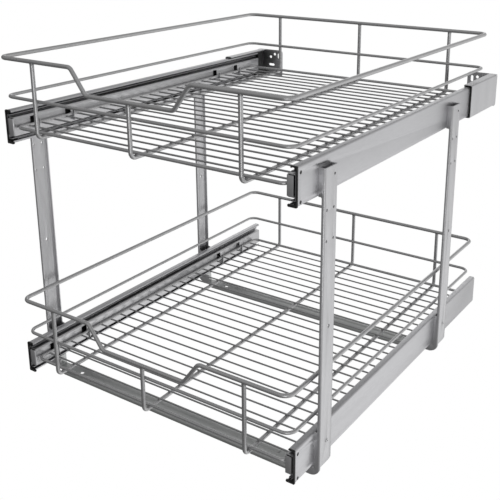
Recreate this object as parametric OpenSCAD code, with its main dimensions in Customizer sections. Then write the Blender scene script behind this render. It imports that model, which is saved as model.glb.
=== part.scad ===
// Two-tier pull-out wire basket for a kitchen cabinet.
// X is the width, Y the depth with the front at negative Y, Z the height above the cabinet floor.
// Depths in the modules are measured from the front rim wires, and in_tier() and in_frame() place them.
// Right-hand pieces are drawn, and left-hand ones are their mirror images.

/* [Overall] */
// Width between the centres of a rim's two side wires
basket_w = 400; // [380:1:404]
// Depth between the centres of a rim's front and rear wires
basket_d = 505.5; // [480:0.5:520]
// Height of the upper rim wire's centre above the floor
rim_z = 432.5; // [425:0.5:440]
// Height from the lower basket's rim to the upper one's
tier_gap = 308; // [300:1:315]

/* [Basket wires] */
// Diameter of the rim wire
rim_d = 5; // [4:0.5:6]
// Bend radius at the corners of the rim and of the middle ring
ring_bend = 12; // [8:1:20]
// Half width of the front dip along its top
dip_top = 83.5; // [70:0.5:95]
// Depth of the front dip below the rim
dip_drop = 29; // [15:0.5:35]
// Bend radius of the dip
dip_bend = 8; // [5:1:12]
// Diameter of the middle and floor rings
ring_d = 4; // [3:0.5:5]
// Drop from the rim to the middle ring
mid_drop = 46.5; // [40:0.5:55]
// Drop from the rim to the floor ring
floor_drop = 84.5; // [80:0.5:90]
// Half width of the floor ring
floor_half_w = 190.2; // [185:0.1:190.2]
// How far the floor ring lies inside the rim at the front and the rear
floor_inset = 9; // [8:0.5:14]
// Bend radius of the floor ring
floor_bend = 8; // [5:1:12]
// Diameter of the U-shaped wires
u_d = 5; // [4:0.5:6]
// Distance from the middle U-shaped wire to the outer ones
u_pitch = 144.5; // [120:0.5:160]
// Bend radius of the U-shaped wires
u_bend = 7; // [5:0.5:9]
// Diameter of the thin floor wires
thin_d = 2.2; // [1.6:0.1:3]
// Depth of the first thin wire behind the front rim wire
thin_first = 26; // [20:0.5:30]
// Number of thin floor wires in the upper basket
upper_thin_count = 24; // [20:1:24]
// Spacing of the thin floor wires in the upper basket
upper_thin_step = 19.45; // [18:0.05:19.5]
// Number of thin floor wires in the lower basket
lower_thin_count = 25; // [20:1:25]
// Spacing of the thin floor wires in the lower basket
lower_thin_step = 18.85; // [18:0.05:18.9]

/* [Slides] */
// Outer face of the fixed rail, from the middle plane
rail_x = 205.2; // [205.2:0.1:206]
// Drop from the rim to the slide's centre line
slide_drop = 84; // [83:0.5:85]
// Height of the fixed rail
rail_h = 40.5; // [40.5:0.1:42]
// Depth of the fixed rail's flanges
rail_flange = 9; // [8.5:0.1:9]
// Height of the fixed rail's inward lips
rail_lip = 4.6; // [4:0.1:4.6]
// Sheet thickness of all rails
rail_t = 1.2; // [1:0.1:1.2]
// Height of the middle rail
middle_h = 30.3; // [29.5:0.1:30.3]
// Height of the inner rail
inner_h = 23.7; // [22.5:0.1:23.7]
// Length of the fixed rail
rail_len = 510; // [500:1:520]
// Length of the middle and inner rails
inner_len = 500; // [490:1:505]
// Diameter of the outer balls
ball_d = 3.8; // [3.4:0.1:3.8]
// Diameter of the inner balls
small_ball_d = 2; // [1.6:0.1:2]
// Balls in each row
ball_count = 6; // [4:1:8]

/* [Frame] */
// Outer face of the posts, from the middle plane
post_x = 213; // [212.5:0.1:214]
// Width of the posts
post_w = 24.5; // [24:0.5:26]
// Sheet thickness of posts and rear brackets
post_t = 1.5; // [1.2:0.1:1.5]
// Depth of the front edge of the front posts behind the front rim wire
front_post_y = 43.5; // [40:0.5:60]
// Depth of the front edge of the rear posts behind the front rim wire
rear_post_y = 363.5; // [350:0.5:380]
// Height of the top of the posts above the floor
post_top = 358; // [355:0.5:360]
// Spacing of the cabinet floor screws across the width
screw_span = 327; // [300:1:340]
// Diameter of the cabinet floor screw holes
screw_d = 5; // [4:0.5:6]

/* [Hidden] */
$fn = 48;
eps = 0.02;

// The dip's slanted runs drop 4 for every 3 along the width
dip_bottom = dip_top - 0.75 * dip_drop;

// Overall places
rear_plate_y = 541;
front_y = -(rear_plate_y - rim_d / 2) / 2;
upper = 0;
lower = 1;

// Slide section, from the outside inwards
slide_z = -slide_drop;
rail_y = 6.5;
inner_y = 5;
middle_x = rail_x - rail_t - 0.4;
middle_flange = 5.9;
middle_back = 9;
inner_x = 192.5;
inner_flange = 8.7;
ball_x = 200.5;
ball_z = (rail_h / 2 - rail_t + middle_h / 2) / 2;
small_ball_x = 199.5;
small_ball_z = (middle_h / 2 - rail_t + inner_h / 2) / 2;
cage_y = 150;
cage_len = 200;
ball_step = cage_len / ball_count;

// Tabs lanced from the inner rails, by depth
tab_ys = [39.5, 95, 398, 452];
tab_reach = 6.3;
tab_low = -92;
tab_high = -79;
slot_len = 9;
slot_low = -87;
slot_high = -76;

// Frame heights and depths
lower_rail_bottom = rim_z - tier_gap - slide_drop - rail_h / 2;
upper_rail_bottom = lower_rail_bottom + tier_gap;
post_lip = 4;
foot_in = 190.5;
foot_bend = 13;
foot_z = 6.5;
web_bottom = foot_z + foot_bend;
web_corner = 6;
beam_z = 3;
beam_t = 1.2;
beam_tab_x = post_x - post_t - 0.05;

module in_tier(k) { translate([0, front_y, rim_z - k * tier_gap]) children(); }
module in_frame() { translate([0, front_y, 0]) children(); }
module flip(left) { mirror([left ? 1 : 0, 0, 0]) children(); }
module both_sides() {
    children();
    mirror([1, 0, 0]) children();
}

// A profile drawn in X and Z, run along Y from y0 to y1
module along_y(y0, y1) { translate([0, y1, 0]) rotate([90, 0, 0]) linear_extrude(y1 - y0) children(); }

// A profile drawn in Y and Z, run along X from x0 to x1
module along_x(x0, x1) { translate([x0, 0, 0]) rotate([90, 0, 90]) linear_extrude(x1 - x0) children(); }

function unit(v) = v / norm(v);
function turn(a, b) = atan2(a[0] * b[1] - a[1] * b[0], a[0] * b[0] + a[1] * b[1]);
function heading(p, i) = unit(p[i + 1] - p[i]);
function bend_angle(p, i) = turn(heading(p, i - 1), heading(p, i));
function is_bend(p, i) = i > 0 && i < len(p) - 1;
function trim(p, i, r) = is_bend(p, i) ? r * tan(abs(bend_angle(p, i)) / 2) : 0;

// A round wire through flat points, with every corner bent to radius r.
// Straight runs reach a hair into the bends, which are a hair thicker, so that all of it is one solid.
bend_swell = 0.02;
bend_reach = 0.03;

module wire(p, d, r) {
    for (i = [0 : len(p) - 2]) {
        dir = heading(p, i);
        a = p[i] + dir * (trim(p, i, r) - (is_bend(p, i) ? bend_reach : 0));
        b = p[i + 1] - dir * (trim(p, i + 1, r) - (is_bend(p, i + 1) ? bend_reach : 0));
        translate([a[0], a[1], 0]) rotate([0, 0, atan2(dir[1], dir[0])]) rotate([0, 90, 0])
            cylinder(d = d, h = norm(b - a));
    }
    for (i = [1 : len(p) - 2]) {
        dir = heading(p, i - 1);
        side = sign(bend_angle(p, i));
        c = p[i] - dir * trim(p, i, r) + side * r * [-dir[1], dir[0]];
        start = atan2(dir[1], dir[0]) - side * 90;
        translate([c[0], c[1], 0]) rotate([0, 0, side > 0 ? start : start + bend_angle(p, i)])
            rotate_extrude(angle = abs(bend_angle(p, i))) translate([r, 0]) circle(d = d + bend_swell);
    }
}

// A closed rectangular ring of wire, joined in the middle of its rear run
module wire_ring(half_w, y0, y1, d, r) {
    wire([[0, y1], [half_w, y1], [half_w, y0], [-half_w, y0], [-half_w, y1], [0, y1]], d, r);
}

// ---- Basket wires ----

module rim() {
    half = basket_w / 2;
    side_start = dip_top + ring_bend;
    color([0.66, 0.66, 0.67]) {
        wire([[side_start, 0], [half, 0], [half, basket_d], [-half, basket_d], [-half, 0],
              [-side_start, 0]], rim_d, ring_bend);
        rotate([90, 0, 0])
            wire([[-side_start, 0], [-dip_top, 0], [-dip_bottom, -dip_drop], [dip_bottom, -dip_drop],
                  [dip_top, 0], [side_start, 0]], rim_d, dip_bend);
    }
}

module middle_ring() {
    inset = (u_d + ring_d) / 2;
    color([0.66, 0.66, 0.67]) translate([0, 0, -mid_drop])
        wire_ring(basket_w / 2, inset, basket_d - inset, ring_d, ring_bend);
}

module floor_ring() {
    color([0.6, 0.6, 0.61]) translate([0, 0, -floor_drop])
        wire_ring(floor_half_w, floor_inset, basket_d - floor_inset, ring_d, floor_bend);
}

module u_wires() {
    run_z = -floor_drop - (ring_d + u_d) / 2;
    rim_under = -rim_d / 2;
    for (i = [-1 : 1]) {
        front_top = i == 0 ? rim_under - dip_drop : rim_under;
        color([0.62, 0.62, 0.63]) translate([i * u_pitch, 0, 0]) rotate([90, 0, 90])
            wire([[0, front_top], [0, run_z], [basket_d, run_z], [basket_d, rim_under]], u_d, u_bend);
    }
}

module floor_wires(count, step) {
    half = floor_half_w - ring_d / 2;
    z = -floor_drop - ring_d / 2 + thin_d / 2;
    color([0.45, 0.45, 0.46])
        for (i = [0 : count - 1])
            translate([-half, thin_first + i * step, z]) rotate([0, 90, 0])
                cylinder(d = thin_d, h = 2 * half);
}

// ---- Slides ----

// A C section with its web at x_web, its flanges reaching towards dir, and lips of height lip
module c_section(x_web, h, flange, lip, dir) {
    x_end = x_web + dir * flange;
    module span(xa, xb, half_h) {
        translate([min(xa, xb), -half_h]) square([abs(xb - xa), 2 * half_h]);
    }
    difference() {
        span(x_web, x_end, h / 2);
        span(x_web + dir * rail_t, x_end + dir * (lip > 0 ? -rail_t : 1), h / 2 - rail_t);
        if (lip > 0) span(x_end - dir * 2 * rail_t, x_end + dir, h / 2 - lip);
    }
}

module outer_rail() {
    hole_y = rail_y + 4.5;
    cap_hole_d = 3.8;
    color([0.72, 0.72, 0.74]) difference() {
        translate([0, 0, slide_z]) along_y(rail_y, rail_y + rail_len)
            c_section(rail_x, rail_h, rail_flange, rail_lip, -1);
        for (dz = [-16.3, 13.3])
            translate([rail_x - 3, hole_y, slide_z + dz]) rotate([0, 90, 0]) cylinder(d = cap_hole_d, h = 6);
    }
}

// Black plastic cap on the front end of a fixed rail: a thin side wall, a hook above, a foot below,
// and two tongues in the ball races
module end_cap() {
    cap_front = rail_y - 2;
    wall = 1.4;
    top = rail_h / 2 + 0.3;
    bottom = rail_h / 2 + 0.7;
    hook_w = 8;
    foot_w = 11;
    tongue_w = 3;
    tongue_h = 2.6;
    tongue_start = cap_front + 0.6;
    color([0.06, 0.06, 0.06]) translate([0, 0, slide_z]) {
        along_y(cap_front, rail_y) {
            translate([rail_x - wall, -bottom]) square([wall, top + bottom]);
            translate([rail_x - hook_w, top - 2]) square([hook_w, 2]);
            translate([rail_x - foot_w, -bottom]) square([foot_w, 3.6]);
        }
        for (s = [-1, 1])
            translate([rail_x - rail_t - 0.1 - tongue_w, tongue_start, s * ball_z - tongue_h / 2])
                cube([tongue_w, 12, tongue_h]);
    }
}

// The middle rail, whose front end stands a little behind the inner rail's
module middle_rail() {
    color([0.55, 0.55, 0.56]) translate([0, 0, slide_z]) along_y(inner_y + middle_back, inner_y + inner_len)
        c_section(middle_x, middle_h, middle_flange, 0, -1);
}

// Lanced tab across the rail, with a notch from above for the floor ring
module tab() {
    translate([inner_x - tab_reach, 0, tab_low]) cube([tab_reach + eps, rail_t, tab_high - tab_low]);
}

// The inner rail, with its front end folded shut between the flanges
module inner_rail() {
    notch_d = ring_d + 0.2;
    fold_w = inner_flange - 0.3;
    fold_h = inner_h - 2 * rail_t - 0.5;
    color([0.7, 0.7, 0.71]) difference() {
        union() {
            translate([0, 0, slide_z]) along_y(inner_y, inner_y + inner_len)
                c_section(inner_x, inner_h, inner_flange, 0, 1);
            translate([inner_x, inner_y, slide_z - fold_h / 2]) cube([fold_w, rail_t, fold_h]);
            for (y = tab_ys) translate([0, y, 0]) tab();
        }
        for (y = tab_ys) {
            translate([inner_x - 1, y - slot_len, slot_low])
                cube([rail_t + 2, slot_len, slot_high - slot_low]);
            translate([floor_half_w, y - 1, -floor_drop]) {
                rotate([-90, 0, 0]) cylinder(d = notch_d, h = rail_t + 2);
                translate([-notch_d / 2, 0, 0]) cube([notch_d, rail_t + 2, 20]);
            }
        }
    }
}

// Row of places along Y where the balls sit
module ball_row(x, z) {
    for (i = [0 : ball_count - 1]) translate([x, cage_y + (i + 0.5) * ball_step, z]) children();
}

// Thin retainer strip above and below the rails, pierced for the balls
module ball_cage(x, z, strip_w, strip_t, hole_d) {
    color([0.8, 0.78, 0.72]) for (s = [-1, 1]) translate([0, 0, slide_z]) difference() {
        translate([x - strip_w / 2, cage_y, s * z - strip_t / 2]) cube([strip_w, cage_len, strip_t]);
        ball_row(x, s * z) translate([0, 0, -2]) cylinder(d = hole_d, h = 4);
    }
}

module balls(x, z, d) {
    color([0.8, 0.8, 0.82]) translate([0, 0, slide_z])
        for (s = [-1, 1]) ball_row(x, s * z) sphere(d = d, $fn = 16);
}

module outer_ball_cages() { both_sides() ball_cage(ball_x, ball_z, 4.8, 0.9, ball_d + 0.1); }
module outer_balls() { both_sides() balls(ball_x, ball_z, ball_d); }
module inner_ball_cages() { both_sides() ball_cage(small_ball_x, small_ball_z, 3.2, 0.6, small_ball_d + 0.1); }
module inner_balls() { both_sides() balls(small_ball_x, small_ball_z, small_ball_d); }

// ---- Frame ----

// Flat plate edge of a post that stands against a rail from its lower to its upper height
module post_lip_outline(foot) {
    inner_edge = post_x - post_lip;
    weld_x = rail_x + 0.02;
    start = lower_rail_bottom + (foot ? 0 : web_corner);
    translate([inner_edge, start]) square([post_lip, post_top - start]);
    translate([weld_x, start]) square([post_x - weld_x, lower_rail_bottom + 33 - start]);
    translate([weld_x, upper_rail_bottom]) square([post_x - weld_x, post_top - upper_rail_bottom]);
    if (foot) {
        translate([foot_in, foot_z]) square([post_x - foot_bend - foot_in, lower_rail_bottom - foot_z - 0.02]);
        translate([foot_in, web_bottom]) square([post_x - foot_in, lower_rail_bottom - web_bottom - 0.02]);
        intersection() {
            translate([post_x - foot_bend, web_bottom]) circle(r = foot_bend);
            translate([post_x - foot_bend, foot_z]) square([foot_bend, foot_bend + eps]);
        }
        translate([weld_x, lower_rail_bottom - 1]) square([post_x - weld_x, 2]);
    }
}

module post(y0) {
    color([0.7, 0.7, 0.72]) difference() {
        union() {
            along_y(y0, y0 + post_t) post_lip_outline(true);
            along_y(y0 + post_w - post_t, y0 + post_w) post_lip_outline(false);
            along_x(post_x - post_t, post_x) difference() {
                translate([y0, web_bottom]) square([post_w, post_top - web_bottom]);
                translate([y0 + post_w - web_corner, web_bottom]) difference() {
                    square([web_corner + 1, web_corner]);
                    translate([0, web_corner]) circle(r = web_corner);
                }
            }
        }
        post_holes(y0);
    }
}

// Holes through a post's web: two screw pairs, one larger hole, one at the upper rail, one rivet
module post_holes(y0) {
    pair_y = [4, 17.5];
    module hole(dy, z, d) {
        translate([post_x - post_t - 1, y0 + dy, z]) rotate([0, 90, 0]) cylinder(d = d, h = post_t + 2);
    }
    for (z = [281.5, 314.5], dy = pair_y) hole(dy, z, 3);
    hole(post_w / 2, 185, 4);
    hole(post_w * 0.75, 349, 3);
    hole(rivet_y, rivet_z, rivet_d);
    translate([rail_x, y0 - 1, lower_rail_bottom - 3]) rotate([-90, 0, 0]) cylinder(d = 3, h = post_t + 2);
}

rivet_y = 14;
rivet_z = 46;
rivet_d = 2.6;

// Rivets through the posts and the cross members' upturned ends
module cross_member_rivets() {
    head_d = 4.4;
    head_t = 0.6;
    stack = post_t + beam_t + 0.1;
    color([0.6, 0.6, 0.62])
        for (y = [front_post_y, rear_post_y]) both_sides()
            translate([post_x - stack, y + rivet_y, rivet_z]) rotate([0, 90, 0]) {
                translate([0, 0, -head_t]) cylinder(d = rivet_d - 0.02, h = stack + 2 * head_t);
                translate([0, 0, -head_t]) cylinder(d = head_d, h = head_t - eps);
                translate([0, 0, stack + eps]) cylinder(d = head_d, h = head_t);
            }
}

// Channel across the cabinet floor, narrowed at its ends to pass under the rails, then turned up
module cross_member(y0) {
    neck_in = 5.5;
    cut_r = 12;
    neck_x = 196;
    tab_top = 54;
    color([0.46, 0.46, 0.47]) difference() {
        union() {
            translate([-beam_tab_x, y0, beam_z]) cube([2 * beam_tab_x, post_w, beam_t]);
            for (y = [y0, y0 + post_w - beam_t])
                translate([-beam_tab_x, y, 0]) cube([2 * beam_tab_x, beam_t, beam_z + eps]);
            for (dy = [post_w * 0.3, post_w * 0.7])
                translate([-150, y0 + dy - 1.5, beam_z]) cube([300, 3, beam_t + 0.8]);
            both_sides() translate([beam_tab_x - beam_t, y0 + neck_in, beam_z])
                cube([beam_t, post_w - 2 * neck_in, tab_top - beam_z]);
        }
        both_sides() for (s = [0, 1]) translate([0, s * post_w + y0, -1]) mirror([0, s, 0]) {
            translate([neck_x, -1, 0]) cube([post_x - neck_x, neck_in + 1, tab_top + 2]);
            translate([neck_x, neck_in - cut_r, 0]) cylinder(r = cut_r, h = 10);
        }
        for (x = [-screw_span / 2, screw_span / 2])
            translate([x, y0 + post_w / 2, 0]) cylinder(d = screw_d, h = 10);
        both_sides() translate([beam_tab_x - beam_t - 1, y0 + rivet_y, rivet_z]) rotate([0, 90, 0])
            cylinder(d = rivet_d, h = 4);
    }
}

// Rear bracket: a sleeve over the rear of the upper rail with a drilled plate behind it
sleeve_y = 441;
liner_t = 0.6;
liner_gap = 0.1;
sleeve_x = rail_x + liner_gap + liner_t + liner_gap + post_t;
sleeve_half = rail_h / 2 + 2 * liner_gap + liner_t + post_t;
plate_in = 163;

module rear_bracket() {
    flange_in = 196;
    plate_corner = 5;
    v_slot = [170, -71.2];
    h_slot = [184, -86.5];
    module plate_cut(p, d) {
        translate([p[0], rear_plate_y + 1, p[1]]) rotate([90, 0, 0]) cylinder(d = d, h = post_t + 2);
    }
    module plate_slot(p, size) {
        translate([p[0] - size[0] / 2, rear_plate_y - post_t - 1, p[1] - size[1] / 2])
            cube([size[0], post_t + 2, size[1]]);
    }
    color([0.7, 0.7, 0.72]) difference() {
        union() {
            translate([0, 0, slide_z]) along_y(sleeve_y, rear_plate_y) {
                translate([sleeve_x - post_t, -sleeve_half]) square([post_t, 2 * sleeve_half]);
                for (s = [0, 1]) mirror([0, s])
                    translate([flange_in, sleeve_half - post_t]) square([sleeve_x - flange_in, post_t]);
            }
            translate([plate_in, rear_plate_y - post_t, slide_z - sleeve_half])
                cube([sleeve_x - plate_in, post_t, 2 * sleeve_half]);
        }
        for (s = [-1, 1])
            translate([plate_in, rear_plate_y + 1, slide_z + s * sleeve_half]) rotate([90, 0, 0])
                difference() {
                    cylinder(r = plate_corner, h = post_t + 2);
                    translate([plate_corner, -s * plate_corner, -1]) cylinder(r = plate_corner, h = 10);
                }
        plate_slot(v_slot, [4, 5]);
        plate_cut(v_slot + [0, 2.5], 4);
        plate_cut(v_slot - [0, 2.5], 4);
        plate_slot(h_slot, [7, 4]);
        plate_cut(h_slot + [3.5, 0], 4);
        plate_cut(h_slot - [3.5, 0], 4);
        plate_cut([178, -68.5], 4.5);
        plate_cut([186, -73.5], 4.5);
    }
}

// Black plastic liner between the upper rail and the rear bracket, closed behind the rail
module bracket_socket() {
    out_x = rail_x + liner_gap + liner_t;
    half = rail_h / 2 + liner_gap + liner_t;
    in_x = 196.5;
    lip_y = 439;
    stop_y = rail_y + rail_len + 0.5;
    color([0.06, 0.06, 0.06]) translate([0, 0, slide_z]) {
        along_y(lip_y, 532) {
            translate([out_x - liner_t, -half]) square([liner_t, 2 * half]);
            for (s = [0, 1]) mirror([0, s]) translate([in_x, half - liner_t]) square([out_x - in_x, liner_t]);
        }
        along_y(lip_y, sleeve_y - 0.1) {
            translate([out_x - eps, -half - 1.2]) square([1.2, 2 * half + 2.4]);
            for (s = [0, 1]) mirror([0, s]) translate([in_x, half - eps]) square([out_x - in_x, 1.2]);
        }
        along_y(stop_y, 532) translate([in_x, -half]) square([out_x - in_x, 2 * half]);
    }
}

// ---- The assembly, one line per piece ----

in_frame() flip(true) post(front_post_y);  // left_front_post
in_frame() post(front_post_y);  // right_front_post
in_frame() flip(true) post(rear_post_y);  // left_rear_post
in_frame() post(rear_post_y);  // right_rear_post
in_frame() cross_member(front_post_y);  // front_cross_member
in_frame() cross_member(rear_post_y);  // rear_cross_member
in_frame() cross_member_rivets();
in_tier(upper) flip(true) rear_bracket();  // left_rear_bracket
in_tier(upper) rear_bracket();  // right_rear_bracket
in_tier(upper) flip(true) bracket_socket();  // left_bracket_socket
in_tier(upper) bracket_socket();  // right_bracket_socket
in_tier(upper) flip(true) outer_rail();  // upper_left_outer_rail
in_tier(upper) outer_rail();  // upper_right_outer_rail
in_tier(lower) flip(true) outer_rail();  // lower_left_outer_rail
in_tier(lower) outer_rail();  // lower_right_outer_rail
in_tier(upper) flip(true) end_cap();  // upper_left_end_cap
in_tier(upper) end_cap();  // upper_right_end_cap
in_tier(lower) flip(true) end_cap();  // lower_left_end_cap
in_tier(lower) end_cap();  // lower_right_end_cap
in_tier(upper) flip(true) middle_rail();  // upper_left_middle_rail
in_tier(upper) middle_rail();  // upper_right_middle_rail
in_tier(lower) flip(true) middle_rail();  // lower_left_middle_rail
in_tier(lower) middle_rail();  // lower_right_middle_rail
in_tier(upper) outer_ball_cages();  // upper_outer_ball_cages
in_tier(upper) outer_balls();  // upper_outer_balls
in_tier(upper) inner_ball_cages();  // upper_inner_ball_cages
in_tier(upper) inner_balls();  // upper_inner_balls
in_tier(lower) outer_ball_cages();  // lower_outer_ball_cages
in_tier(lower) outer_balls();  // lower_outer_balls
in_tier(lower) inner_ball_cages();  // lower_inner_ball_cages
in_tier(lower) inner_balls();  // lower_inner_balls
in_tier(upper) flip(true) inner_rail();  // upper_left_inner_rail
in_tier(upper) inner_rail();  // upper_right_inner_rail
in_tier(lower) flip(true) inner_rail();  // lower_left_inner_rail
in_tier(lower) inner_rail();  // lower_right_inner_rail
in_tier(upper) rim();  // upper_rim
in_tier(upper) middle_ring();  // upper_middle_ring
in_tier(upper) floor_ring();  // upper_floor_ring
in_tier(upper) u_wires();  // upper_u_wires
in_tier(upper) floor_wires(upper_thin_count, upper_thin_step);  // upper_floor_wires
in_tier(lower) rim();  // lower_rim
in_tier(lower) middle_ring();  // lower_middle_ring
in_tier(lower) floor_ring();  // lower_floor_ring
in_tier(lower) u_wires();  // lower_u_wires
in_tier(lower) floor_wires(lower_thin_count, lower_thin_step);  // lower_floor_wires
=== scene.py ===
"""Looks of a two-tier pull-out cabinet basket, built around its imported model.

Lengths are in millimetres until a piece is finished. Depths run from the front rim wires towards the
back, and heights from the cabinet floor. Right-hand pieces are drawn, and left-hand ones are mirrored.
"""
import math

import bmesh
import bpy
from mathutils import Euler, Matrix, Vector


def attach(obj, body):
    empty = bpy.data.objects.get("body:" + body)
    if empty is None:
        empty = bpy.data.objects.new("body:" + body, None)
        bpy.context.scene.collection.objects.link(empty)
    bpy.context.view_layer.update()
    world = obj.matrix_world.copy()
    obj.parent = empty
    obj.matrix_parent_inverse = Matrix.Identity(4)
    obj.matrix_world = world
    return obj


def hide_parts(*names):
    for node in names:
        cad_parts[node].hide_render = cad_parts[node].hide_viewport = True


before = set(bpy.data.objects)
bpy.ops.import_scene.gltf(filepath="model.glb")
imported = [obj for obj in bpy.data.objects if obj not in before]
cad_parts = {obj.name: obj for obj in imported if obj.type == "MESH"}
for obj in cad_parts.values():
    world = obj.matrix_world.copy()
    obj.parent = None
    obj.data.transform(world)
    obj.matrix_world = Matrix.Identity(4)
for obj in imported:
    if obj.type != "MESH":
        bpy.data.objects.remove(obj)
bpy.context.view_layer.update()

MM = 0.001
FRONT_Y = -269.25
TIERS = ("upper", "lower")
RIM_Z = {"upper": 432.5, "lower": 124.5}
SIDES = {"right": 1, "left": -1}

# Mesh making: how far a cut runs past a sheet or laps another, each step's turn round a bend, the
# angle in degrees past which an edge is sharp, and the widths of bevels
PAST = 2.0
LAP = 1.0
BEND_STEP = math.radians(11)
WIRE_STEP = math.radians(7)
SHEET_CREASE = 38
WIRE_CREASE = 60
BEAD_CREASE = 80
EDGE_BEVEL = 0.2
RAIL_BEVEL = 0.15
INNER_BEVEL = 0.12

# Basket wires, with heights from the rim wire
BASKET_W = 400.0
BASKET_D = 505.5
RIM_D = 5.0
RING_D = 4.0
THIN_D = 2.2
RING_BEND = 12.0
DIP_TOP = 83.5
DIP_DROP = 29.0
DIP_SLOPE = 0.75
DIP_BOTTOM = DIP_TOP - DIP_SLOPE * DIP_DROP
DIP_BEND = 8.0
MID_DROP = 46.5
FLOOR_DROP = 84.5
FLOOR_HALF_W = 190.2
FLOOR_INSET = 9.0
FLOOR_BEND = 8.0
U_D = 5.0
U_PITCH = 144.5
U_XS = (-U_PITCH, 0, U_PITCH)
U_BEND = 7.0
THIN_FIRST = 26.0
THIN_COUNT = {"upper": 24, "lower": 25}
THIN_STEP = {"upper": 19.45, "lower": 18.85}
THIN_DROP = FLOOR_DROP + RING_D / 2 - THIN_D / 2
U_RUN_DROP = FLOOR_DROP + (RING_D + U_D) / 2
WELD_SINK = 0.6

# Weld beads, in X, Y and height, and how far they sit out from a wire
U_BEAD = (3.6, 2.8, 1.8)
RING_BEAD = (2.0, 3.2, 2.6)
RIM_BEAD = (5.9, 5.5, 2.4)
MIDDLE_BEAD = (4.4, 2.0, 4.2)
FLOOR_BEAD = (4.0, 4.4, 1.6)
BEAD_OUT = 0.3
BEAD_IN = 0.1
BEAD_ROUGH = 0.06

# Slides, with heights from their centre line
SLIDE_DROP = 84.0
SLIDE_Z = {tier: z - SLIDE_DROP for tier, z in RIM_Z.items()}
RAIL_X = 205.2
RAIL_HALF = 20.25
RAIL_T = 1.2
RAIL_END_X = 196.2
RAIL_LIP = 2.9
RAIL_BEND = 1.7
RAIL_Y = (6.5, 516.5)
INNER_X = 192.5
INNER_HALF = 11.85
INNER_END_X = 201.2
INNER_Y = (5.0, 511.5)
INNER_BEND = 1.5
END_FOLD = 2.0
END_FOLD_BEND = 1.3
END_FOLD_GAP = 0.25
END_FOLD_SHORT = 0.3
MIDDLE_X = 203.6
MIDDLE_END_X = 197.7
MIDDLE_HALF = 15.15
MIDDLE_BACK = 0.5
BALL_Z = 17.1

# Lanced tabs and the slots that they leave
TAB_YS = (39.5, 95.0, 398.0, 452.0)
TAB_ZS = (-8.0, 5.0)
TAB_REACH = 6.3
TAB_ROOT = 0.4
TAB_FIT = 0.15
SLOT_ZS = (-4.0, 9.0)
SLOT_L = 9.0
SLOT_BEND = 1.2

# End caps
CAP_T = 2.0
CAP_WALL = 1.4
CAP_TOP = RAIL_HALF + 0.3
CAP_BOTTOM = -RAIL_HALF - 0.7
HOOK_REACH = 8.0
HOOK_T = 1.5
CAP_FOOT_REACH = 11.0
CAP_FOOT_T = 2.9
CAP_ROOT = 1.0
CAP_ROOT_RISE = 0.4
CAP_HOLE_D = 3.8
CAP_HOLE_Y = 11.0
CAP_HOLE_ZS = (-16.3, 13.3)
SNAP_FIT = 0.2
SNAP_IN = (1.3, 0.3)
TONGUE_T = 3.0
TONGUE_H = 2.6
TONGUE_L = 10.0
TONGUE_ROOT = 0.8
TONGUE_BEND = 0.5
TONGUE_GAP = 0.1

# Frame, with the rails' undersides, and with holes placed from a post's front edge
POST_X = 213.0
POST_W = 24.5
POST_T = 1.5
POST_LIP = 4.0
POST_TOP = 358.0
POST_Y = {"front": 43.5, "rear": 363.5}
PLATE_Y = 541.0
LOW_RAIL = 20.25
HIGH_RAIL = 328.25
FOOT_IN = 190.5
FOOT_Z = 6.5
FOOT_BEND = 13.0
WEB_BOTTOM = FOOT_Z + FOOT_BEND
WEB_CORNER = 6.0
FRAME_BEND = 1.5
HAIRLINE = 0.02
POST_HOLE_D = 3.0
SIDE_HOLE_YS = (4.0, 17.5)
SIDE_HOLE_ZS = (281.5, 314.5)
MIDDLE_HOLE_D = 4.0
MIDDLE_HOLE_Z = 185.0
HEAD_HOLE_Y = 0.75 * POST_W
HEAD_HOLE_Z = 349.0
FOOT_HOLE_Z = LOW_RAIL - 3
FOOT_HOLE_DEPTH = 0.6 * POST_T
RIVET_Y = 14.0
RIVET_Z = 46.0
RIVET_D = 2.6
RIVET_HEAD_R = 2.2
RIVET_TAIL_T = 0.5

# Cross members
BEAM_T = 1.2
BEAM_TOP = 4.2
BEAM_BEND = 1.4
RIB_END_X = 150.0
RIB_SHARES = (0.3, 0.7)
RIB_HALF = 3.4
RIB_RISE = 0.9
RIB_TAPER = 2.2
RIB_BEND = 1.0
BEAM_LAP = 0.5
NECK_X = 196.0
NECK_IN = 5.5
NECK_R = 12.0
NECK_LAP = 4.0
STEP_X = 201.0
STEP_Z = LOW_RAIL - 1.6
TAB_TOP = 54.0
TAB_BEND = 1.6
TAB_GAP = 0.05
SCREW_X = 163.5
SCREW_HOLE_D = 9.0

# Rear brackets, with heights from the upper slides' centre line
BRACKET_X = 207.5
BRACKET_IN_X = 196.0
BRACKET_HALF = 22.55
BRACKET_FRONT = 441.0
BRACKET_BEND = 1.6
SLEEVE_SHORT = 0.7
PLATE_IN_X = 163.0
PLATE_CORNER = 5.0
PLATE_FOLD = 8.0
PLATE_SLOTS = ((168.0, 172.0, 8.3, 17.3), (178.5, 189.5, -4.5, -0.5))
PLATE_SLOT_BEND = 1.95
PLATE_HOLES = ((178.0, 15.5), (186.0, 10.5))
PLATE_HOLE_D = 4.5
SOCKET_X = (196.5, 205.9)
SOCKET_HALF = 20.95
SOCKET_T = 0.6
SOCKET_Y = (439.1, 532.0)
SOCKET_BEND = 1.9
SOCKET_BLOCK_FRONT = 517.1
SOCKET_BLOCK_GAP = 0.3
SOCKET_BLOCK_BEND = 1.5
COLLAR_T = 0.9
COLLAR_Y = (440.1, 440.9)
COLLAR_BEND = 2.2

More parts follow.
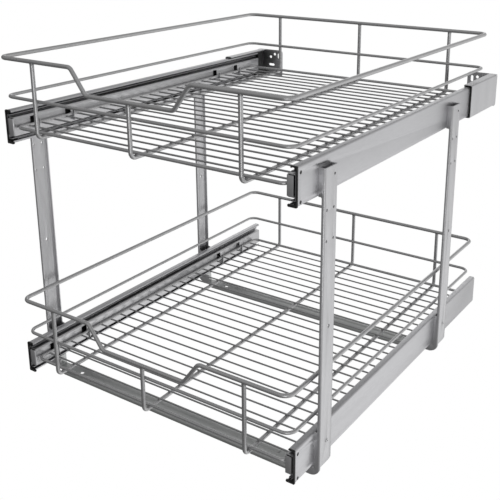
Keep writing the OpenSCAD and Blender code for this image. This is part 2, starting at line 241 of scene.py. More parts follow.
# Camera at the photo's view: pixels of the photo, then millimetres and degrees
FRAME_PIXELS = 500
FOCAL_PIXELS = 823.7
CENTRE_PIXEL = (280.7, 165.5)
SENSOR = 36.0
NEAREST = 0.05
CAMERA_PLACE = (591.6, -610.4, 593.9)
CAMERA_TURN = (72.871, -0.174, 33.407)

# Floor and soft lamp, in metres and watts
FLOOR_SIZE = 12.0
FLOOR_Z = -0.0005
SOFTBOX_PLACE = (0.75, -1.12, 0.12)
SOFTBOX_AIM = (0.0, -0.27, 0.2)
SOFTBOX_SIZE = (0.5, 0.45)
SOFTBOX_POWER = 1.2

# The tent's tone in shadow, and its lobes: direction, sharpness and strength
TENT_BASE = 0.11
TENT_LOBES = (
    ((0.45, 0.6, -0.66), 6.0, 0.76),
    ((-0.46, 0.88, 0.1), 24.0, 0.9),
    ((0.45, 0.88, 0.2), 14.0, 0.2),
    ((0.0, -0.35, 0.94), 2.0, 0.36),
    ((0.95, 0.0, -0.2), 4.0, 0.27),
)


# ---- Mesh helpers ----

def fillet(points, radius, closed=False, step=BEND_STEP):
    """The points of a line with its corners rounded, to one radius or to one for each corner."""
    points = [Vector(p).to_3d() for p in points]
    count = len(points)
    radii = list(radius) if isinstance(radius, (list, tuple)) else [radius] * count
    out = []
    for i, p in enumerate(points):
        if radii[i] <= 0 or (not closed and i in (0, count - 1)):
            out.append(p)
            continue
        back = (points[i - 1] - p).normalized()
        ahead = (points[(i + 1) % count] - p).normalized()
        turn = math.pi - back.angle(ahead)
        centre = p + (back + ahead).normalized() * radii[i] / math.cos(turn / 2)
        first = p + back * radii[i] * math.tan(turn / 2) - centre
        last = p + ahead * radii[i] * math.tan(turn / 2) - centre
        spin = first.cross(last).normalized()
        pieces = max(2, math.ceil(turn / step))
        turns = [turn * k / pieces for k in range(pieces + 1)]
        out += [centre + Matrix.Rotation(a, 3, spin) @ first for a in turns]
    return out


def strip(points, thickness, radius):
    """The outline of a folded sheet's section, from its centre line in a plane."""
    line = fillet(points, radius)
    left, right = [], []
    for i, p in enumerate(line):
        along = (line[min(i + 1, len(line) - 1)] - line[max(i - 1, 0)]).normalized()
        across = Vector((-along.y, along.x, 0)) * thickness / 2
        left.append(p + across)
        right.append(p - across)
    return left + right[::-1]


def extrude(bm, outline, axis, low, high):
    """Adds a solid that runs an outline along an axis from low to high."""
    def corner(p, t):
        return {"X": (t, p[0], p[1]), "Y": (p[0], t, p[1]), "Z": (p[0], p[1], t)}[axis]
    ends = [[bm.verts.new(corner(p, t)) for p in outline] for t in (low, high)]
    bm.faces.new(ends[0])
    bm.faces.new(ends[1][::-1])
    for i in range(len(outline)):
        j = (i + 1) % len(outline)
        bm.faces.new((ends[0][i], ends[0][j], ends[1][j], ends[1][i]))


def rectangle(x0, x1, y0, y1):
    """The four corners of a rectangle in a plane."""
    return [(x0, y0), (x1, y0), (x1, y1), (x0, y1)]


def circle(x, y, d, count=28):
    """The corners of a round hole or disc in a plane."""
    turns = [2 * math.pi * k / count for k in range(count)]
    return [(x + d / 2 * math.cos(a), y + d / 2 * math.sin(a)) for a in turns]


def arc(x, y, r, start, end, count=12):
    """Points along an arc in a plane, between two angles in degrees."""
    turns = [math.radians(start + (end - start) * k / count) for k in range(count + 1)]
    return [(x + r * math.cos(a), y + r * math.sin(a)) for a in turns]


def sweep(bm, line, d, closed=False, up=(0, 0, 1), sides=16):
    """Adds a round wire of diameter d along a line that never runs along up."""
    rings = []
    count = len(line)
    turns = [2 * math.pi * k / sides for k in range(sides)]
    for i, p in enumerate(line):
        ahead = line[(i + 1) % count] if closed else line[min(i + 1, count - 1)]
        behind = line[i - 1] if closed else line[max(i - 1, 0)]
        along = ((ahead - p).normalized() + (p - behind).normalized()).normalized()
        across = along.cross(Vector(up)).normalized()
        over = across.cross(along)
        spokes = [(across * math.cos(a) + over * math.sin(a)) * d / 2 for a in turns]
        rings.append([bm.verts.new(p + spoke) for spoke in spokes])
    for i in range(count if closed else count - 1):
        a, b = rings[i], rings[(i + 1) % count]
        for k in range(sides):
            m = (k + 1) % sides
            bm.faces.new((a[k], a[m], b[m], b[k]))
    if not closed:
        bm.faces.new(rings[0][::-1])
        bm.faces.new(rings[-1])


def bead(bm, place, size):
    """Adds a small weld bead, an uneven flattened ball whose waves differ from place to place."""
    made = bmesh.ops.create_icosphere(bm, subdivisions=2, radius=0.5)["verts"]
    for i, v in enumerate(made):
        wave = math.sin(place[0] * 1.7 + place[1] * 2.3 + i * 2.1)
        v.co = v.co * Vector(size) * (1 + BEAD_ROUGH * wave) + Vector(place)


def lathe(bm, profile, centre, axis, count=28):
    """Adds a closed ring or disc, turned about an axis, from a profile of (radius, distance along it)."""
    turn_to = Vector((0, 0, 1)).rotation_difference(Vector(axis)).to_matrix()
    rings = []
    for r, t in profile:
        turns = [2 * math.pi * k / count for k in range(count if r else 1)]
        spots = [turn_to @ Vector((r * math.cos(a), r * math.sin(a), t)) for a in turns]
        rings.append([bm.verts.new(Vector(centre) + spot) for spot in spots])
    whole = profile[0][0] > 0 and profile[-1][0] > 0
    for i in range(len(rings) if whole else len(rings) - 1):
        a, b = rings[i], rings[(i + 1) % len(rings)]
        for k in range(count):
            m = (k + 1) % count
            if len(a) == 1:
                bm.faces.new((a[0], b[m], b[k]))
            elif len(b) == 1:
                bm.faces.new((a[k], a[m], b[0]))
            else:
                bm.faces.new((a[k], a[m], b[m], b[k]))


def temporary(bm):
    """A mesh object made from a bmesh, in millimetres, still without its own name."""
    bmesh.ops.recalc_face_normals(bm, faces=bm.faces)
    mesh = bpy.data.meshes.new("temporary")
    bm.to_mesh(mesh)
    bm.free()
    obj = bpy.data.objects.new("temporary", mesh)
    bpy.context.scene.collection.objects.link(obj)
    return obj


def bake_modifiers(obj):
    """Replaces an object's mesh with what its modifiers make of it."""
    bpy.context.view_layer.update()
    mesh = bpy.data.meshes.new_from_object(obj.evaluated_get(bpy.context.evaluated_depsgraph_get()))
    obj.modifiers.clear()
    obj.data = mesh


def combine(obj, bm, operation):
    """Cuts a bmesh's solids from an object, or adds them to it."""
    other = temporary(bm)
    step = obj.modifiers.new("boolean", "BOOLEAN")
    step.operation = operation
    step.solver = "EXACT"
    step.use_self = True
    step.object = other
    bake_modifiers(obj)
    bpy.data.objects.remove(other)


def solid(draw, cuts=(), add=None):
    """An object from a function that draws solids, with another's joined on, less some groups of cuts.

    A cut is an outline, an axis and two ends to run between. The cuts of one group don't touch each other.
    """
    bm = bmesh.new()
    draw(bm)
    obj = temporary(bm)
    if add:
        added = bmesh.new()
        add(added)
        combine(obj, added, "UNION")
    for group in cuts:
        cutters = bmesh.new()
        for cut in group:
            extrude(cutters, *cut)
        combine(obj, cutters, "DIFFERENCE")
    return obj


def finish(obj, name, body, look, nodes, side="right", lift=0.0, bevel=0.0, crease=SHEET_CREASE):
    """Turns a drawn object into a named piece, in metres, in place of some CAD nodes."""
    if bevel:
        step = obj.modifiers.new("bevel", "BEVEL")
        step.width = bevel
        step.segments = 2
        step.limit_method = "ANGLE"
        step.angle_limit = math.radians(crease)
        bake_modifiers(obj)
    mesh = obj.data
    flip = SIDES[side]
    mesh.transform(Matrix.Diagonal((flip * MM, MM, MM, 1)) @ Matrix.Translation((0, FRONT_Y, lift)))
    if flip < 0:
        mesh.flip_normals()
    mesh.shade_smooth()
    mesh.set_sharp_from_angle(angle=math.radians(crease))
    mesh.materials.clear()
    mesh.materials.append(look)
    obj.name = name
    mesh.name = name
    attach(obj, body)
    if nodes:
        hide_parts(*nodes)


# ---- Materials ----

# How deep a grain is, in metres, and the texture's stretch on sheet that was rolled one way
GRAIN_DEPTH = 0.0002
ROLLED_X = (0.12, 1, 1)
ROLLED_Y = (1, 0.12, 1)
ROLLED_Z = (1, 1, 0.2)


def node_tree(name):
    """A new material with its node tree and shader."""
    look = bpy.data.materials.new(name)
    look.use_nodes = True
    return look, look.node_tree, look.node_tree.nodes["Principled BSDF"]


def noise(tree, scale, detail=3.0, stretch=(1, 1, 1)):
    """A noise texture in the object's own coordinates."""
    coords = tree.nodes.new("ShaderNodeTexCoord")
    mapping = tree.nodes.new("ShaderNodeMapping")
    mapping.inputs["Scale"].default_value = stretch
    texture = tree.nodes.new("ShaderNodeTexNoise")
    texture.inputs["Scale"].default_value = scale
    texture.inputs["Detail"].default_value = detail
    tree.links.new(coords.outputs["Object"], mapping.inputs["Vector"])
    tree.links.new(mapping.outputs["Vector"], texture.inputs["Vector"])
    return texture.outputs["Fac"]


def ramp(tree, source, low, high, start=0.3, end=0.7):
    """A colour ramp from low to high over part of its input."""
    node = tree.nodes.new("ShaderNodeValToRGB")
    for element, place, value in zip(node.color_ramp.elements, (start, end), (low, high)):
        element.position = place
        element.color = value if isinstance(value, tuple) else (value, value, value, 1)
    tree.links.new(source, node.inputs["Fac"])
    return node.outputs["Color"]


def shade(colour, factor):
    """A colour made lighter or darker."""
    return tuple(min(1.0, c * factor) for c in colour) + (1,)


def tone(tree, shader, texture, colour, darkest, lightest):
    """Varies a shader's colour with a cloudy texture."""
    tree.links.new(ramp(tree, texture, shade(colour, darkest), shade(colour, lightest)),
                   shader.inputs["Base Color"])


def grain(tree, shader, texture, smoothest, roughest, strength):
    """Varies a shader's roughness, and raises a slight relief, with a fine texture."""
    tree.links.new(ramp(tree, texture, smoothest, roughest), shader.inputs["Roughness"])
    relief = tree.nodes.new("ShaderNodeBump")
    relief.inputs["Strength"].default_value = strength
    relief.inputs["Distance"].default_value = GRAIN_DEPTH
    tree.links.new(texture, relief.inputs["Height"])
    tree.links.new(relief.outputs["Normal"], shader.inputs["Normal"])


def metal(name, colour, roughness, mottle=0.05, bump=0.06, streaks=(1, 1, 1)):
    """Satin plated steel: faint cloudy tone, uneven gloss and a fine grain."""
    look, tree, shader = node_tree(name)
    shader.inputs["Metallic"].default_value = 1.0
    tone(tree, shader, noise(tree, 30.0, 4.0, streaks), colour, 1 - mottle, 1 + mottle)
    grain(tree, shader, noise(tree, 900.0, 2.0, streaks), roughness - 0.05, roughness + 0.06, bump)
    return look


def plastic(name, colour, roughness):
    """Moulded plastic with a fine spark-eroded grain."""
    look, tree, shader = node_tree(name)
    tone(tree, shader, noise(tree, 60.0), colour, 0.85, 1.2)
    grain(tree, shader, noise(tree, 2500.0, 2.0), roughness - 0.06, roughness + 0.08, 0.15)
    return look


WIRE = metal("satin_nickel_wire", (0.56, 0.56, 0.565), 0.30)
# The thin wires are the same nickel as the others, given a darker colour: painted shade for their dark look
THIN = metal("thin_wire_painted_shade", (0.42, 0.42, 0.425), 0.32)
WELD = metal("weld", (0.36, 0.36, 0.365), 0.42, mottle=0.12)
RAIL = metal("zinc_rail", (0.62, 0.62, 0.635), 0.36, streaks=ROLLED_Y)
# The middle rail is the same zinc as the other rails, given a much darker colour: painted shade for the gaps
# and holes it shows through
MIDDLE = metal("middle_rail_painted_shade", (0.3, 0.3, 0.31), 0.36, streaks=ROLLED_Y)
INNER = metal("zinc_inner_rail", (0.62, 0.62, 0.63), 0.34, streaks=ROLLED_Y)
FRAME = metal("zinc_frame", (0.62, 0.62, 0.632), 0.38, streaks=ROLLED_Z)
BEAM = metal("zinc_cross_member", (0.54, 0.55, 0.545), 0.36, streaks=ROLLED_X)
RIVET = metal("zinc_rivet", (0.6, 0.6, 0.61), 0.3)
BALL = metal("polished_ball", (0.75, 0.75, 0.76), 0.14, mottle=0.01, bump=0.0)
CAGE = plastic("cage_plastic", (0.02, 0.02, 0.02), 0.45)
BLACK = plastic("black_plastic", (0.012, 0.012, 0.012), 0.42)


# ---- Basket wires ----

def rim_line():
    """The rim's centre line, round the basket from the left end of the dip."""
    half = BASKET_W / 2
    corners = [(-DIP_TOP, 0, 0), (-DIP_BOTTOM, 0, -DIP_DROP), (DIP_BOTTOM, 0, -DIP_DROP), (DIP_TOP, 0, 0),
               (half, 0, 0), (half, BASKET_D, 0), (-half, BASKET_D, 0), (-half, 0, 0)]
    return fillet(corners, [DIP_BEND] * 4 + [RING_BEND] * 4, closed=True, step=WIRE_STEP)


def ring_line(half_w, y0, y1, drop, bend):
    """The centre line of a flat rectangular ring."""
    corners = [(half_w, y0, -drop), (half_w, y1, -drop), (-half_w, y1, -drop), (-half_w, y0, -drop)]
    return fillet(corners, bend, closed=True, step=WIRE_STEP)


def wire_piece(tier, part, draw, look):
    """Finishes one of a basket's wires."""
    name = tier + "_" + part
    finish(solid(draw), name + "_wire", tier + "_basket", look, [name],
           lift=RIM_Z[tier], crease=WIRE_CREASE)


def thin_places(tier):
    """Depths of the thin floor wires."""
    return [THIN_FIRST + i * THIN_STEP[tier] for i in range(THIN_COUNT[tier])]


def u_line(x):
    """The centre line of a U-shaped wire, from under the rim's front to under its rear."""
    rear_top = WELD_SINK - RIM_D / 2
    front_top = rear_top - (DIP_DROP if x == 0 else 0)
    corners = [(x, 0, front_top), (x, 0, -U_RUN_DROP), (x, BASKET_D, -U_RUN_DROP), (x, BASKET_D, rear_top)]
    return fillet(corners, U_BEND, step=WIRE_STEP)


def basket_wires(tier):
    """A basket's rim, its two rings, its U-shaped wires and its thin floor wires."""
    inset = (U_D + RING_D) / 2
    mid = ring_line(BASKET_W / 2, inset, BASKET_D - inset, MID_DROP, RING_BEND)
    floor = ring_line(FLOOR_HALF_W, FLOOR_INSET, BASKET_D - FLOOR_INSET, FLOOR_DROP, FLOOR_BEND)
    wire_piece(tier, "rim", lambda bm: sweep(bm, rim_line(), RIM_D, closed=True), WIRE)
    wire_piece(tier, "middle_ring", lambda bm: sweep(bm, mid, RING_D, closed=True), WIRE)
    wire_piece(tier, "floor_ring", lambda bm: sweep(bm, floor, RING_D, closed=True), WIRE)

    def draw_u(bm):
        for x in U_XS:
            sweep(bm, u_line(x), U_D, up=(1, 0, 0))

    def draw_thin(bm):
        end = FLOOR_HALF_W - WELD_SINK
        for y in thin_places(tier):
            xs = (-end, WELD_SINK - end, end - WELD_SINK, end)
            sweep(bm, [Vector((x, y, -THIN_DROP)) for x in xs], THIN_D, sides=12)

    wire_piece(tier, "u_wires", draw_u, WIRE)
    wire_piece(tier, "floor_wires", draw_thin, THIN)


def weld_beads(tier):
    """Beads where the wires cross: thin wires on the long wires, and U-shaped wires on the rings and rim."""
    def draw(bm):
        for y in thin_places(tier):
            for x in U_XS:
                bead(bm, (x, y, BEAD_IN - THIN_DROP - THIN_D / 2), U_BEAD)
            for side in SIDES.values():
                bead(bm, (side * (FLOOR_HALF_W - RING_D / 2 + BEAD_OUT), y, -THIN_DROP), RING_BEAD)
        for x in U_XS:
            front_drop = DIP_DROP if x == 0 else 0
            for y, inward, drop in ((0, 1, front_drop), (BASKET_D, -1, 0)):
                bead(bm, (x, y, -drop - RIM_D / 2 - BEAD_OUT), RIM_BEAD)
                bead(bm, (x, y + inward * U_D / 2, -MID_DROP), MIDDLE_BEAD)
                bead(bm, (x, y + inward * (FLOOR_INSET - BEAD_OUT), -FLOOR_DROP - RING_D / 2), FLOOR_BEAD)
    finish(solid(draw), tier + "_weld_beads", tier + "_basket", WELD, [],
           lift=RIM_Z[tier], crease=BEAD_CREASE)


# ---- Slides ----

def flanged(x_web, x_end, half, lip, bend):
    """The section of a rail: a web, two flanges and, if lip isn't 0, two lips, in X and height."""
    toward = math.copysign(RAIL_T / 2, x_end - x_web)
    web, end, top = x_web + toward, x_end - (toward if lip else 0), half - RAIL_T / 2
    line = [(end, top), (web, top), (web, -top), (end, -top)]
    if lip:
        line = [(end, half - lip)] + line + [(end, lip - half)]
    return strip(line, RAIL_T, bend)


def outer_rail(tier, side):
    """A lipped channel with two holes near its front for the end cap's snaps."""
    holes = [(circle(CAP_HOLE_Y, z, CAP_HOLE_D), "X", RAIL_X - RAIL_T - PAST, RAIL_X + PAST)
             for z in CAP_HOLE_ZS]

    def draw(bm):
        extrude(bm, flanged(RAIL_X, RAIL_END_X, RAIL_HALF, RAIL_LIP, RAIL_BEND), "Y", *RAIL_Y)

    name = "%s_%s_outer_rail" % (tier, side)
    finish(solid(draw, [holes]), name + "_section", "frame", RAIL,
           [name], side, SLIDE_Z[tier], RAIL_BEVEL)


def inner_rail(tier, side):
    """A channel with its front end folded shut, and tabs lanced out of its web to hold the floor ring."""
    front = INNER_Y[0] + END_FOLD

    def draw(bm):
        extrude(bm, flanged(INNER_X, INNER_END_X, INNER_HALF, 0, INNER_BEND), "Y", front, INNER_Y[1])

    def add(bm):
        middle = RAIL_T / 2
        corner = (INNER_X + middle, INNER_Y[0] + middle)
        fold = [(corner[0], front), corner, (INNER_END_X - END_FOLD_SHORT, corner[1])]
        fold_half = INNER_HALF - RAIL_T - END_FOLD_GAP
        extrude(bm, strip(fold, RAIL_T, END_FOLD_BEND), "Z", -fold_half, fold_half)
        for y in TAB_YS:
            extrude(bm, tab_outline(), "Y", y, y + RAIL_T)

    slots = [(fillet(rectangle(y - SLOT_L, y, *SLOT_ZS), SLOT_BEND, closed=True), "X",
              INNER_X - LAP, INNER_X + RAIL_T + LAP) for y in TAB_YS]
    name = "%s_%s_inner_rail" % (tier, side)
    finish(solid(draw, [slots], add), name + "_section", tier + "_basket", INNER,
           [name], side, SLIDE_Z[tier], INNER_BEVEL)


def tab_outline():
    """A lanced tab seen from the front, with a notch in its top for the floor ring."""
    low, high = TAB_ZS
    left, right = INNER_X - TAB_REACH, INNER_X + TAB_ROOT
    notch = RING_D / 2 + TAB_FIT
    outline = [(left, low), (right, low), (right, high), (FLOOR_HALF_W + notch, high)]
    outline += arc(FLOOR_HALF_W, SLIDE_DROP - FLOOR_DROP, notch, 360, 180, 10)
    return outline + [(FLOOR_HALF_W - notch, high), (left, high)]


def middle_rail(tier, side):
    """The channel between the fixed rail and the basket's own."""
    def draw(bm):
        section = flanged(MIDDLE_X, MIDDLE_END_X, MIDDLE_HALF, 0, INNER_BEND)
        extrude(bm, section, "Y", INNER_Y[0] + MIDDLE_BACK, INNER_Y[1])

    name = "%s_%s_middle_rail" % (tier, side)
    finish(solid(draw), name + "_section", tier + "_middle_rails", MIDDLE,
           [name], side, SLIDE_Z[tier], INNER_BEVEL)


def end_cap(tier, side):
    """Black plastic cap on a fixed rail's front end: a thin wall, a hook, a foot, and snaps in its holes."""
    back = RAIL_Y[0]
    wall, hook, foot = RAIL_X - CAP_WALL, RAIL_X - HOOK_REACH, RAIL_X - CAP_FOOT_REACH
    hook_z, foot_z = CAP_TOP - HOOK_T, CAP_BOTTOM + CAP_FOOT_T
    corners = [
        (RAIL_X, CAP_BOTTOM, 1.4), (RAIL_X, CAP_TOP, 1.6), (hook, CAP_TOP, 0.6), (hook, hook_z, 0.6),
        (wall - CAP_ROOT, hook_z - CAP_ROOT_RISE, 0.8), (wall, hook_z - 1.5, 0.8),
        (wall, foot_z + 1.7, 0.8), (wall - CAP_ROOT, foot_z + CAP_ROOT_RISE, 1.0),
        (foot, foot_z, 1.0), (foot, CAP_BOTTOM, 1.2),
    ]

    def draw(bm):
        outline = fillet([(x, z) for x, z, _ in corners], [r for _, _, r in corners], closed=True)
        extrude(bm, outline, "Y", back - CAP_T, back)
        tongue_x = RAIL_X - RAIL_T - TONGUE_GAP
        for s in (-1, 1):
            low, high = s * BALL_Z - TONGUE_H / 2, s * BALL_Z + TONGUE_H / 2
            tongue = fillet(rectangle(tongue_x - TONGUE_T, tongue_x, low, high), TONGUE_BEND, closed=True)
            extrude(bm, tongue, "Y", back - TONGUE_ROOT, back + TONGUE_L)
        for z in CAP_HOLE_ZS:
            snap = circle(CAP_HOLE_Y, z, CAP_HOLE_D - SNAP_FIT)
            extrude(bm, snap, "X", RAIL_X - SNAP_IN[0], RAIL_X - SNAP_IN[1])

    name = "%s_%s_end_cap" % (tier, side)
    finish(solid(draw), name + "_frame", "frame", BLACK,
           [name], side, SLIDE_Z[tier], EDGE_BEVEL)


# ---- Frame ----

def post(which, side):
    """A channel whose flanges reach in to the rails, with narrow lips between them and a foot in front."""
    y0, y1 = POST_Y[which], POST_Y[which] + POST_W
    housing = RAIL_X + HAIRLINE

    def draw(bm):
        web = POST_X - POST_T / 2
        front, rear = y0 + POST_T / 2, y1 - POST_T / 2
        line = [(FOOT_IN, front), (web, front), (web, rear), (housing, rear)]
        extrude(bm, strip(line, POST_T, FRAME_BEND), "Z", FOOT_Z - PAST, POST_TOP)

    inside, outside = FOOT_IN - PAST, POST_X + PAST
    lip_x = POST_X - POST_LIP
    flange_top = LOW_RAIL + 2 * RAIL_HALF
    along = ("Y", y0 - PAST, y1 + PAST)
    between = fillet(rectangle(inside, lip_x, flange_top, HIGH_RAIL), [0, FRAME_BEND, FRAME_BEND, 0],
                     closed=True)
    beside = rectangle(inside, housing, LOW_RAIL - HAIRLINE, flange_top + LAP)
    above = rectangle(inside, housing, HIGH_RAIL - LAP, POST_TOP + PAST)
    corner = [(inside, -PAST), (outside, -PAST), (outside, WEB_BOTTOM)]
    corner += arc(POST_X - FOOT_BEND, WEB_BOTTOM, FOOT_BEND, 0, -90) + [(inside, FOOT_Z)]
    # Under the web, whose rear corner is rounded, only the front flange goes on as the foot
    corner_z = WEB_BOTTOM + WEB_CORNER
    under = [(y0 + POST_T, -PAST), (y1 + PAST, -PAST), (y1 + PAST, corner_z)]
    under += arc(y1 - WEB_CORNER, corner_z, WEB_CORNER, 0, -90) + [(y0 + POST_T, WEB_BOTTOM)]
    cuts = [[(between,) + along, (corner, "Y", y0 - PAST, y0 + POST_T + PAST)],
            [(beside,) + along, (above,) + along],
            [(under, "X", inside - PAST, outside)],
            post_holes(y0)]
    name = "%s_%s_post" % (side, which)
    finish(solid(draw, cuts), name + "_channel", "frame", FRAME,
           [name], side, bevel=EDGE_BEVEL)


def post_holes(y0):
    """Holes through a post's web, and the shallow one in its foot."""
    holes = [(y, z, POST_HOLE_D) for z in SIDE_HOLE_ZS for y in SIDE_HOLE_YS]
    holes.append((POST_W / 2, MIDDLE_HOLE_Z, MIDDLE_HOLE_D))
    holes.append((HEAD_HOLE_Y, HEAD_HOLE_Z, POST_HOLE_D))
    holes.append((RIVET_Y, RIVET_Z, RIVET_D))
    cuts = [(circle(y0 + y, z, d), "X", POST_X - POST_T - PAST, POST_X + PAST) for y, z, d in holes]
    return cuts + [(circle(RAIL_X, FOOT_HOLE_Z, POST_HOLE_D), "Y", y0 - PAST, y0 + FOOT_HOLE_DEPTH)]


def rivets():
    """Hollow-headed rivets through the posts and the ends of the cross members."""
    def draw(bm):
        tail = -(POST_T + BEAM_T + 0.1)
        shank = RIVET_D / 2 - HAIRLINE
        profile = [(0, -0.5), (0.8, -0.5), (0.9, 0.5), (1.4, 0.6), (2.0, 0.45), (RIVET_HEAD_R, 0),
                   (shank, 0), (shank, tail), (RIVET_HEAD_R, tail),
                   (RIVET_HEAD_R - 0.3, tail - RIVET_TAIL_T), (0, tail - RIVET_TAIL_T - 0.1)]
        for y0 in POST_Y.values():
            for s in SIDES.values():
                lathe(bm, profile, (s * POST_X, y0 + RIVET_Y, RIVET_Z), (s, 0, 0))
    finish(solid(draw), "cross_member_rivet_heads", "frame", RIVET, ["cross_member_rivets"])


def cross_member(which):
    """A ribbed channel on the cabinet floor, whose narrowed ends turn up inside the posts."""
    y0, y1 = POST_Y[which], POST_Y[which] + POST_W
    half = BEAM_T / 2
    top = BEAM_TOP - half
    tab_x = POST_X - POST_T - TAB_GAP - half

    def draw(bm):
        front, rear = (y0 + half, top), (y1 - half, top)
        ribs = []
        for share in RIB_SHARES:
            y = y0 + share * POST_W
            crest = RIB_HALF / RIB_TAPER
            ribs += [(y - RIB_HALF, top), (y - crest, top + RIB_RISE)]
            ribs += [(y + crest, top + RIB_RISE), (y + RIB_HALF, top)]
        ribbed = [(y0 + half, 0), front] + ribs + [rear, (y1 - half, 0)]
        plain = [(y0 + half, 0), front, rear, (y1 - half, 0)]
        extrude(bm, strip(ribbed, BEAM_T, RIB_BEND), "X", -RIB_END_X, RIB_END_X)
        for s in (-1, 1):
            low, high = sorted((s * (RIB_END_X - BEAM_LAP), s * (NECK_X + NECK_LAP)))
            extrude(bm, strip(plain, BEAM_T, BEAM_BEND), "X", low, high)
            turned_up = [(NECK_X - NECK_LAP, top), (STEP_X, top), (STEP_X, STEP_Z), (tab_x, STEP_Z),
                         (tab_x, TAB_TOP)]
            extrude(bm, strip([(s * x, z) for x, z in turned_up], BEAM_T, TAB_BEND), "Y",
                    y0 + NECK_IN, y1 - NECK_IN)

    ends, throats, holes = [], [], []
    upright = ("Z", -PAST, TAB_TOP + PAST)
    for s in (-1, 1):
        beyond = sorted((s * NECK_X, s * (POST_X + PAST)))
        for edge, inward in ((y0, 1), (y1, -1)):
            side = sorted((edge - inward * PAST, edge + inward * NECK_IN))
            ends.append((rectangle(*beyond, *side),) + upright)
            throat = circle(s * NECK_X, edge + inward * (NECK_IN - NECK_R), 2 * NECK_R, 48)
            throats.append((throat,) + upright)
        holes.append((circle(s * SCREW_X, (y0 + y1) / 2, SCREW_HOLE_D), "Z", -PAST, BEAM_TOP + PAST))
        holes.append((circle(y0 + RIVET_Y, RIVET_Z, RIVET_D), "X", s * tab_x - PAST, s * tab_x + PAST))

    def dishes(bm):
        dish = [(4.6, -0.05), (4.3, -0.02), (3.0, -0.7), (2.5, -0.8), (2.5, -1.6), (3.2, -1.6), (4.6, -1.15)]
        for s in (-1, 1):
            lathe(bm, dish, (s * SCREW_X, (y0 + y1) / 2, BEAM_TOP), (0, 0, 1), 36)

    name = which + "_cross_member"
    finish(solid(dishes), name + "_screw_dishes", "frame", BEAM, [])
    finish(solid(draw, [ends, throats, holes]), name + "_channel", "frame", BEAM,
           [name], bevel=RAIL_BEVEL)


def rear_bracket(side):
    """A sleeve round the upper rail's rear, folded into a plate with slots and holes for screws."""
    web_x = BRACKET_X - POST_T / 2
    plate_y = PLATE_Y - POST_T / 2
    edge = BRACKET_HALF - POST_T / 2

    def draw(bm):
        section = [(BRACKET_IN_X, edge), (web_x, edge), (web_x, -edge), (BRACKET_IN_X, -edge)]
        extrude(bm, strip(section, POST_T, BRACKET_BEND), "Y", BRACKET_FRONT, PLATE_Y - SLEEVE_SHORT)

    def add(bm):
        fold = [(web_x, PLATE_Y - PLATE_FOLD), (web_x, plate_y), (PLATE_IN_X, plate_y)]
        extrude(bm, strip(fold, POST_T, BRACKET_BEND), "Z", -BRACKET_HALF, BRACKET_HALF)

    through = ("Y", PLATE_Y - POST_T - PAST, PLATE_Y + PAST)
    round_x, round_z = PLATE_IN_X + PLATE_CORNER, BRACKET_HALF - PLATE_CORNER
    outlines = []
    for s in (-1, 1):
        corner = [(PLATE_IN_X - PAST, s * (BRACKET_HALF + PAST)), (PLATE_IN_X - PAST, s * round_z)]
        corner += arc(round_x, s * round_z, PLATE_CORNER, 180, 180 - s * 90)
        outlines.append(corner + [(round_x, s * (BRACKET_HALF + PAST))])
    outlines += [fillet(rectangle(*slot), PLATE_SLOT_BEND, closed=True) for slot in PLATE_SLOTS]
    outlines += [circle(x, z, PLATE_HOLE_D) for x, z in PLATE_HOLES]
    name = side + "_rear_bracket"
    finish(solid(draw, [[(outline,) + through for outline in outlines]], add), name + "_sleeve",
           "frame", FRAME, [name], side, SLIDE_Z["upper"], EDGE_BEVEL)


def bracket_socket(side):
    """A black liner between the upper rail's rear and its bracket, with a collar round its mouth."""
    in_x, out_x = SOCKET_X

    def channel(reach):
        """A channel's centre line, moved out from the socket's surface."""
        x, z = out_x + reach, SOCKET_HALF + reach
        return [(in_x, z), (x, z), (x, -z), (in_x, -z)]

    def draw(bm):
        extrude(bm, strip(channel(-SOCKET_T / 2), SOCKET_T, SOCKET_BEND), "Y", *SOCKET_Y)
        extrude(bm, strip(channel(SOCKET_T), COLLAR_T, COLLAR_BEND), "Y", *COLLAR_Y)
        block_half = SOCKET_HALF - SOCKET_BLOCK_GAP
        block = rectangle(in_x, out_x - SOCKET_BLOCK_GAP, -block_half, block_half)
        extrude(bm, fillet(block, SOCKET_BLOCK_BEND, closed=True), "Y", SOCKET_BLOCK_FRONT, SOCKET_Y[1])

    name = side + "_bracket_socket"
    finish(solid(draw), name + "_liner", "frame", BLACK,
           [name], side, SLIDE_Z["upper"], RAIL_BEVEL)


def dress_cad_nodes():
    """Gives the balls and their cages, whose CAD shapes stay, their own materials."""
    for name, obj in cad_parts.items():
        look = BALL if name.endswith("balls") else CAGE if name.endswith("cages") else None
        if look:
            for material_slot in obj.material_slots:
                material_slot.material = look


for tier in TIERS:
    basket_wires(tier)
    weld_beads(tier)
    for side in SIDES:
        outer_rail(tier, side)
        inner_rail(tier, side)
        middle_rail(tier, side)
        end_cap(tier, side)
for which in POST_Y:
    cross_member(which)
    for side in SIDES:
        post(which, side)
for side in SIDES:
    rear_bracket(side)
    bracket_socket(side)
rivets()
dress_cad_nodes()


# ---- Camera, floor and light ----

def camera():
    """A camera at the photo's own angle."""
    data = bpy.data.cameras.new("camera")
    data.sensor_width = SENSOR
    data.lens = SENSOR * FOCAL_PIXELS / FRAME_PIXELS
    data.shift_x = 0.5 - CENTRE_PIXEL[0] / FRAME_PIXELS
    data.shift_y = CENTRE_PIXEL[1] / FRAME_PIXELS - 0.5
    data.clip_start = NEAREST
    obj = bpy.data.objects.new("camera", data)
    bpy.context.scene.collection.objects.link(obj)
    place = (Vector(CAMERA_PLACE) + Vector((0, FRONT_Y, 0))) * MM
    turn = Euler([math.radians(a) for a in CAMERA_TURN])
    obj.matrix_world = Matrix.LocRotScale(place, turn, None)
    bpy.context.scene.camera = obj


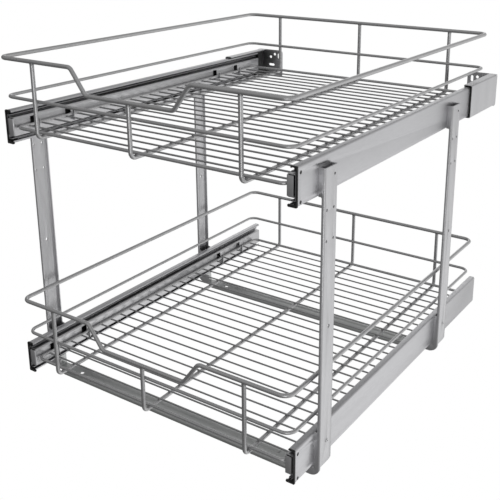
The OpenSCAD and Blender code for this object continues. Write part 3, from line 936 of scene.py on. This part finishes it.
def softbox():
    """A soft lamp low in front of the object, for the faces that look forwards."""
    data = bpy.data.lights.new("front_softbox", "AREA")
    data.shape = "RECTANGLE"
    data.size, data.size_y = SOFTBOX_SIZE
    data.energy = SOFTBOX_POWER
    obj = bpy.data.objects.new("front_softbox", data)
    obj.location = SOFTBOX_PLACE
    aim = Vector(SOFTBOX_AIM) - Vector(SOFTBOX_PLACE)
    obj.rotation_euler = aim.to_track_quat("-Z", "Y").to_euler()
    bpy.context.scene.collection.objects.link(obj)


def to_camera(tree, shown, otherwise, output):
    """Sends one shader to the camera's own rays and another to all other rays."""
    path = tree.nodes.new("ShaderNodeLightPath")
    mix = tree.nodes.new("ShaderNodeMixShader")
    tree.links.new(path.outputs["Is Camera Ray"], mix.inputs["Fac"])
    tree.links.new(otherwise, mix.inputs[1])
    tree.links.new(shown, mix.inputs[2])
    tree.links.new(mix.outputs["Shader"], output)


def floor():
    """A pure white floor that adds no light of its own."""
    bpy.ops.mesh.primitive_plane_add(size=FLOOR_SIZE, location=(0, 0, FLOOR_Z))
    obj = bpy.context.object
    obj.name = "studio_floor"
    look, tree, shader = node_tree("studio_floor")
    tree.nodes.remove(shader)
    white = tree.nodes.new("ShaderNodeEmission")
    clear = tree.nodes.new("ShaderNodeBsdfTransparent")
    to_camera(tree, white.outputs["Emission"], clear.outputs["BSDF"],
              tree.nodes["Material Output"].inputs["Surface"])
    obj.data.materials.append(look)


def maths(tree, operation, first, second):
    """A sum, product or power of one socket and a number or another socket."""
    node = tree.nodes.new("ShaderNodeMath")
    node.operation = operation
    tree.links.new(first, node.inputs[0])
    if isinstance(second, (int, float)):
        node.inputs[1].default_value = second
    else:
        tree.links.new(second, node.inputs[1])
    return node.outputs["Value"]


def studio_world():
    """White to the camera. To the object, a soft tent of light made of a few broad lobes."""
    world = bpy.data.worlds.new("studio")
    world.use_nodes = True
    bpy.context.scene.world = world
    tree = world.node_tree
    white = tree.nodes["Background"]
    white.inputs["Color"].default_value = (1, 1, 1, 1)
    coords = tree.nodes.new("ShaderNodeTexCoord")
    total = None
    for aim, sharpness, strength in TENT_LOBES:
        facing = tree.nodes.new("ShaderNodeVectorMath")
        facing.operation = "DOT_PRODUCT"
        facing.inputs[1].default_value = Vector(aim).normalized()
        tree.links.new(coords.outputs["Generated"], facing.inputs[0])
        spread = tree.nodes.new("ShaderNodeMapRange")
        spread.inputs["From Min"].default_value = -1.0
        tree.links.new(facing.outputs["Value"], spread.inputs["Value"])
        lobe = maths(tree, "POWER", spread.outputs["Result"], sharpness)
        scaled = maths(tree, "MULTIPLY", lobe, strength)
        total = maths(tree, "ADD", scaled, TENT_BASE if total is None else total)
    tent = tree.nodes.new("ShaderNodeBackground")
    tent.inputs["Color"].default_value = (1, 1, 1, 1)
    tree.links.new(total, tent.inputs["Strength"])
    to_camera(tree, white.outputs["Background"], tent.outputs["Background"],
              tree.nodes["World Output"].inputs["Surface"])


bpy.context.scene.view_settings.view_transform = "Standard"
camera()
floor()
studio_world()
softbox()
